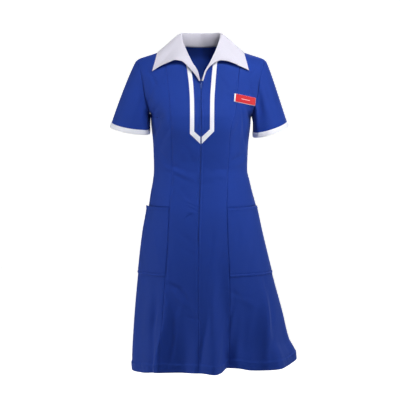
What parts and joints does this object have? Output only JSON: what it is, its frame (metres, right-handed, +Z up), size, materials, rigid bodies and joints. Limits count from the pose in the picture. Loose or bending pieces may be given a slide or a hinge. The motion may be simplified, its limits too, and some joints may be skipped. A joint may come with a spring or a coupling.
{
  "type": "waitress dress",
  "caption": "Knee-length blue waitress dress, worn and empty, with a zip front between white tapes, short sleeves, a pointed white collar, patch pockets and a bare badge.",
  "frame": {"origin": "middle of the neck base, level with the side neck points, where the wearer's shoulders hold the dress", "axes": "+Z up, the front faces -Y, +X to the wearer's left"},
  "size_m": [0.5616, 0.4216, 1.013],
  "materials": {
    "front_centre_left": "matt blue poly-cotton twill",
    "front_centre_right": "matt blue poly-cotton twill",
    "front_side_left": "matt blue poly-cotton twill",
    "front_side_right": "matt blue poly-cotton twill",
    "back_side_left": "matt blue poly-cotton twill",
    "back_side_right": "matt blue poly-cotton twill",
    "back_centre": "matt blue poly-cotton twill",
    "sleeve_left": "matt blue poly-cotton twill",
    "sleeve_right": "matt blue poly-cotton twill",
    "zip_tape_left": "matt blue woven zip tape",
    "zip_tape_right": "matt blue woven zip tape",
    "pocket_left": "matt blue poly-cotton twill",
    "pocket_right": "matt blue poly-cotton twill",
    "collar": "crisp matt white cotton",
    "sleeve_band_left": "crisp matt white cotton",
    "sleeve_band_right": "crisp matt white cotton",
    "placket_tape_left": "crisp matt white cotton",
    "placket_tape_right": "crisp matt white cotton",
    "badge_plate": "smooth white plastic",
    "badge_face": "glossy red plastic",
    "zip_slider": "blue enamelled metal",
    "zip_pull": "blue enamelled metal"
  },
  "bodies": {
    "dress": {"front_centre_left": "front_centre_left", "front_centre_right": "front_centre_right", "front_side_left": "front_side_left", "front_side_right": "front_side_right", "back_side_left": "back_side_left", "back_side_right": "back_side_right", "back_centre": "back_centre", "sleeve_left": "sleeve_left", "sleeve_right": "sleeve_right", "zip_tape_left": "zip_tape_left", "zip_tape_right": "zip_tape_right", "pocket_left": "pocket_left", "pocket_right": "pocket_right", "collar": "collar", "sleeve_band_left": "sleeve_band_left", "sleeve_band_right": "sleeve_band_right", "placket_tape_left": "placket_tape_left", "placket_tape_right": "placket_tape_right", "badge_plate": "badge_plate", "badge_face": "badge_face", "zip_slider": "zip_slider"},
    "zip_pull": {"zip_pull": "zip_pull"}
  },
  "joints": [
    {"name": "zip_pull_hinge", "type": "hinge", "parent": "dress", "child": "zip_pull", "pos_m": [0, -0.08967, -0.11225], "axis": [-1, 0, 0], "range_deg": [0, 135]}
  ]
}
